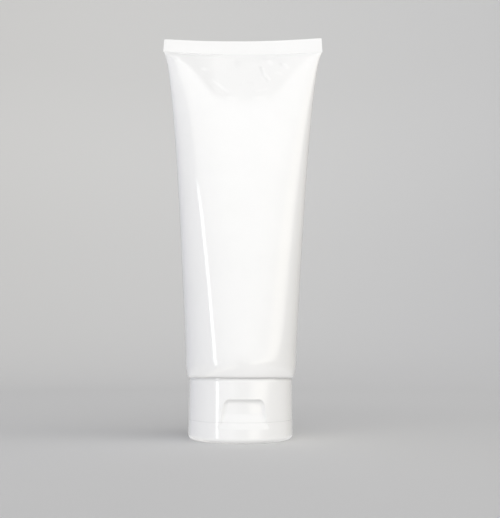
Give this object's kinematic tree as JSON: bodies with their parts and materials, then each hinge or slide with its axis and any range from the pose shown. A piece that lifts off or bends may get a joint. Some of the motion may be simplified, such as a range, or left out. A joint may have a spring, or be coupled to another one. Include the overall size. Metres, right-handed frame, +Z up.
{
  "type": "cosmetic squeeze tube",
  "caption": "White plastic squeeze tube with a flat crimped end, a round shoulder and a screw cap with a flip lid and a thumb scoop.",
  "frame": {"origin": "middle of the lid's flat end face, which the tube stands on", "axes": "+Z up along the tube's axis towards the crimp, X along the crimp, -Y the front; the thumb scoop faces the front, 4.6 degrees round towards +X, and the hinge of the lid is opposite to it"},
  "size_m": [0.0706, 0.045, 0.172],
  "materials": {
    "sleeve_film": "glossy white film",
    "neck_plastic": "smooth white moulding",
    "cap_plastic": "glossy white moulding"
  },
  "bodies": {
    "tube": {"sleeve": "sleeve_film", "head": "neck_plastic"},
    "cap_base": {"cap_base": "cap_plastic", "hinge_strap": "cap_plastic"},
    "cap_lid": {"cap_lid": "cap_plastic"}
  },
  "joints": [
    {"name": "cap_turn", "type": "hinge", "parent": "tube", "child": "cap_base", "pos_m": [0, 0, 0.018], "axis": [0, 0, -1], "range_deg": [0, 540]},
    {"name": "lid_flip", "type": "hinge", "parent": "cap_base", "child": "cap_lid", "pos_m": [-0.00167, 0.02073, 0.0076], "axis": [0.9968, 0.0802, 0], "range_deg": [0, 180], "deforming": ["hinge_strap"]}
  ]
}
